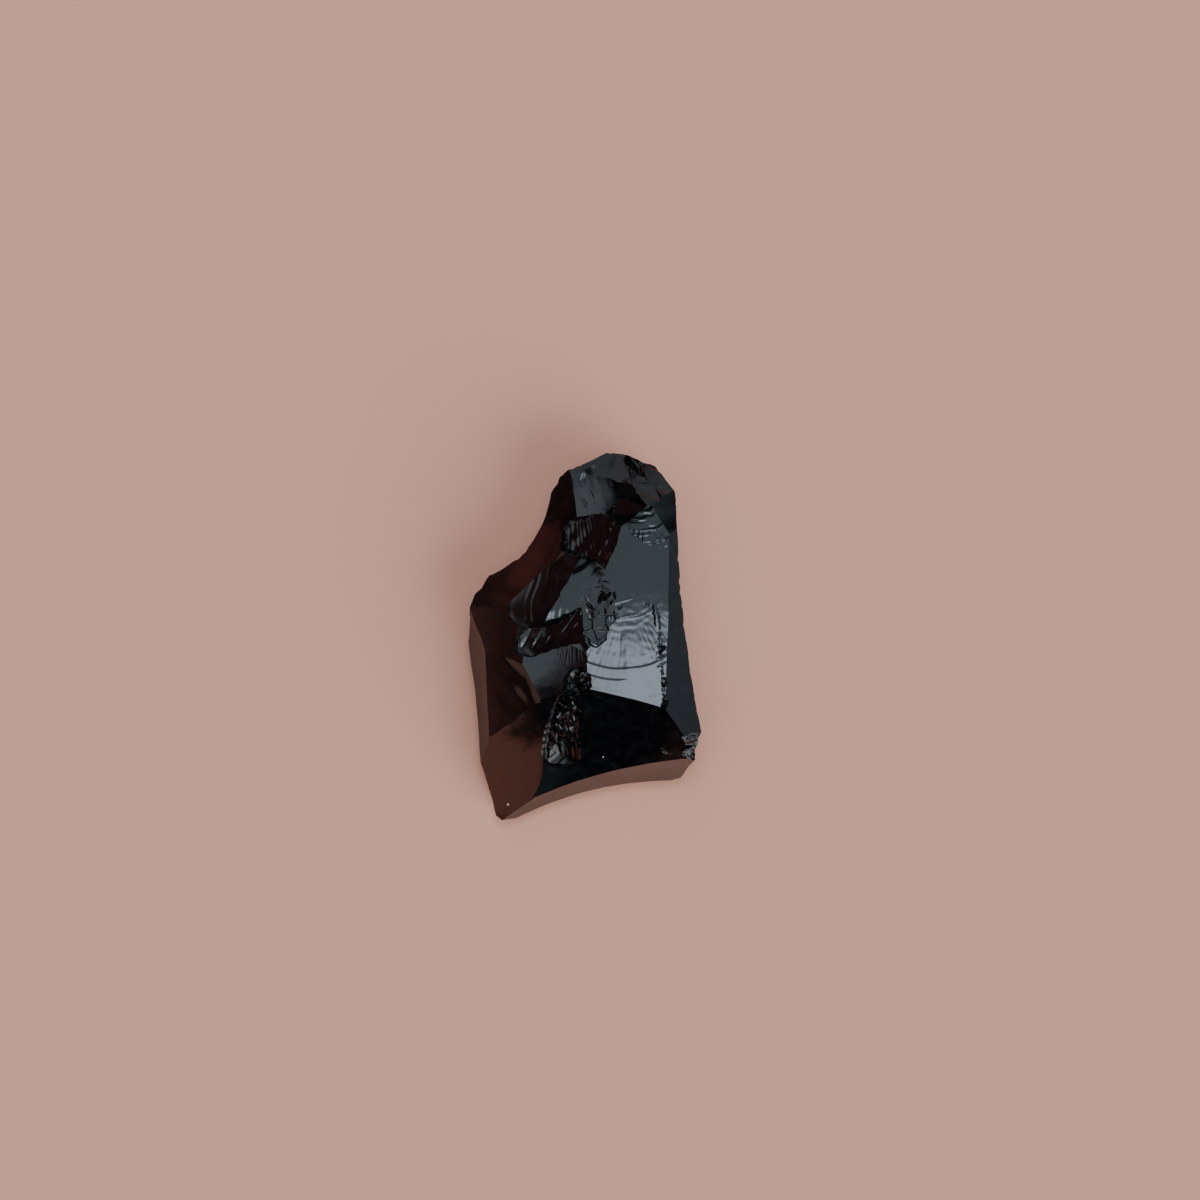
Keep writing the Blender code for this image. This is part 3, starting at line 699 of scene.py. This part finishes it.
# Haze lies in bands 6 mm apart, drawn out along the way the lava flowed
flow = add(tree, "ShaderNodeMapping", [
    ("Vector", place), ("Rotation", (0.3, 0.2, 0.5)), ("Scale", (1.0, 0.25, 1.6))])
haze = add(tree, "ShaderNodeTexNoise", [
    ("Vector", flow.outputs[0]), ("Scale", 1 / (6 * MM)), ("Detail", 5.0)])
# Painted reflection: the base colour turns brown towards the left side, standing in for the warm light low
# on the left that those faces mirror
leftward = add(tree, "ShaderNodeMapRange", [
    ("Value", aside), ("From Min", -6 * MM), ("From Max", -18 * MM), ("To Min", 0.0), ("To Max", 1.0)])
painted_warm_reflection = add(tree, "ShaderNodeMath", [(0, leftward.outputs[0]), (1, haze.outputs["Fac"])], operation="MULTIPLY")
# The ramp runs from the black of the glass to a brown that is painted reflection of the warm light
body = add(tree, "ShaderNodeValToRGB", [("Fac", painted_warm_reflection.outputs[0])])
body.color_ramp.elements[0].color = linear("#08090a")
body.color_ramp.elements[1].position = 0.55
body.color_ramp.elements[1].color = linear("#34201b")
# The film's clouds are 1.5 mm across
film = add(tree, "ShaderNodeTexNoise", [
    ("Vector", place), ("Scale", 1 / (1.5 * MM)), ("Detail", 7.0), ("Roughness", 0.6)])
filmed = add(tree, "ShaderNodeMapRange", [
    ("Value", film.outputs["Fac"]), ("From Min", 0.48), ("From Max", 0.75),
    ("To Min", 0.0), ("To Max", 1.0)])
greyed = add(tree, "ShaderNodeMix", [
    (0, filmed.outputs[0]), (6, body.outputs[0]), (7, linear("#17191b"))], data_type="RGBA")
# Pale specks, partly dust and partly painted glints: one place in each 4 mm cell, a speck 0.4 mm across,
# and few cells have one
specks = add(tree, "ShaderNodeTexVoronoi", [("Vector", place), ("Scale", 1 / (4 * MM))])
tiny = add(tree, "ShaderNodeMath", [(0, specks.outputs["Distance"]), (1, 0.05)], operation="LESS_THAN")
pick = add(tree, "ShaderNodeSeparateColor", [(0, specks.outputs["Color"])])
few = add(tree, "ShaderNodeMath", [(0, pick.outputs[0]), (1, 0.72)], operation="GREATER_THAN")
dust_and_glints = add(tree, "ShaderNodeMath", [(0, tiny.outputs[0]), (1, few.outputs[0])], operation="MULTIPLY")
# Painted glints: the pale specks stand in for bright points of light as well as for dust
colour = add(tree, "ShaderNodeMix", [
    (0, dust_and_glints.outputs[0]), (6, greyed.outputs[2]), (7, linear("#b9b6b0"))], data_type="RGBA")
tree.links.new(colour.outputs[2], shader.inputs["Base Color"])
# Unevenness 1.2 mm across and 0.03 mm high, too fine for the mesh
grain = add(tree, "ShaderNodeTexNoise", [("Vector", place), ("Scale", 1 / (1.2 * MM)), ("Detail", 6.0)])
gloss = add(tree, "ShaderNodeMapRange", [
    ("Value", haze.outputs["Fac"]), ("From Min", 0.35), ("From Max", 0.75),
    ("To Min", 0.07), ("To Max", 0.22)])
tree.links.new(gloss.outputs[0], shader.inputs["Roughness"])
relief = add(tree, "ShaderNodeBump", [
    ("Height", grain.outputs["Fac"]), ("Strength", 0.5), ("Distance", 0.03 * MM)])
tree.links.new(relief.outputs[0], shader.inputs["Normal"])
chunk.data.materials.clear()
chunk.data.materials.append(glass)

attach(chunk, "root")
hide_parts("obsidian_chunk")

# ---------------------------------------------------------------------------------------------
# The table top: a sheet of matt card that the chunk lies on.
# It is not part of the object. Its warm tone is what the lower faces of the glass mirror.
# ---------------------------------------------------------------------------------------------
paper = bpy.data.materials.new("matt_card")
paper.use_nodes = True
card = paper.node_tree.nodes["Principled BSDF"]
card.inputs["Base Color"].default_value = linear("#f4b39a")
card.inputs["Roughness"].default_value = 0.9
HALF_TABLE = 3000  # mm
floor = bpy.data.objects.new("table_top", make_mesh(
    "table_top", [(sx * HALF_TABLE, sy * HALF_TABLE, 0) for sx, sy in ((-1, -1), (1, -1), (1, 1), (-1, 1))],
    [(0, 1, 2, 3)]))
floor.data.materials.append(paper)
bpy.context.scene.collection.objects.link(floor)

# ---------------------------------------------------------------------------------------------
# The light: soft panels far away, so that each one shows in the faces turned to it.
# Black glass has almost no colour of its own, and its faces look grey, silver or brown by what
# they mirror: a bright window above the head, a dim sky, and warm light low on the left.
# ---------------------------------------------------------------------------------------------
world = bpy.data.worlds.new("studio")
world.use_nodes = True
tree = world.node_tree
background = tree.nodes["Background"]
view = add(tree, "ShaderNodeTexCoord").outputs["Generated"]
total = None
# Soft panels: bearing from +X and height above the table in degrees, radius, softness, radiance
for bearing, climb, size, soft, colour in [
    (83, 71.5, 9.5, 1.5, (5.8, 6.5, 7.5)),
    (180, 81, 25, 6, (1.1, 1.35, 1.5)),
    (4, 14, 24, 10, (0.45, 0.52, 0.6)),
    (95, 18, 15, 9, (0.75, 0.80, 0.86)),
    (106, 46, 10, 8, (1.3, 1.45, 1.6)),
    (226, 31, 12, 2.5, (1.30, 0.50, 0.35)),
    (180, 38, 28, 14, (0.20, 0.06, 0.06)),
    (147, 12, 7, 6, (0.70, 0.18, 0.15)),
    (271, 45, 6, 5, (0.12, 0.17, 0.18)),
    (315, 30, 25, 8, (3.4, 3.5, 3.6)),
]:
    b, c = math.radians(bearing), math.radians(climb)
    towards = Vector((math.cos(c) * math.cos(b), math.cos(c) * math.sin(b), math.sin(c)))
    aim = add(tree, "ShaderNodeVectorMath", [(0, view), (1, towards)], operation="DOT_PRODUCT")
    lobe = add(tree, "ShaderNodeMapRange", [
        ("Value", aim.outputs["Value"]), ("From Min", math.cos(math.radians(size + soft))),
        ("From Max", math.cos(math.radians(max(size - soft, 0))))], interpolation_type="SMOOTHSTEP")
    tint = add(tree, "ShaderNodeVectorMath", [
        (0, Vector(colour)), ("Scale", lobe.outputs["Result"])], operation="SCALE")
    total = tint.outputs[0] if total is None else add(
        tree, "ShaderNodeVectorMath", [(0, total), (1, tint.outputs[0])], operation="ADD").outputs[0]
tree.links.new(total, background.inputs["Color"])
bpy.context.scene.world = world

# The camera looks straight down on the chunk from 400 mm
camera = bpy.data.objects.new("camera", bpy.data.cameras.new("camera"))
camera.data.sensor_width = 36.0
camera.data.lens = 71.56
camera.location = (0.00275, 0.00609, 0.400)
bpy.context.scene.collection.objects.link(camera)
bpy.context.scene.camera = camera
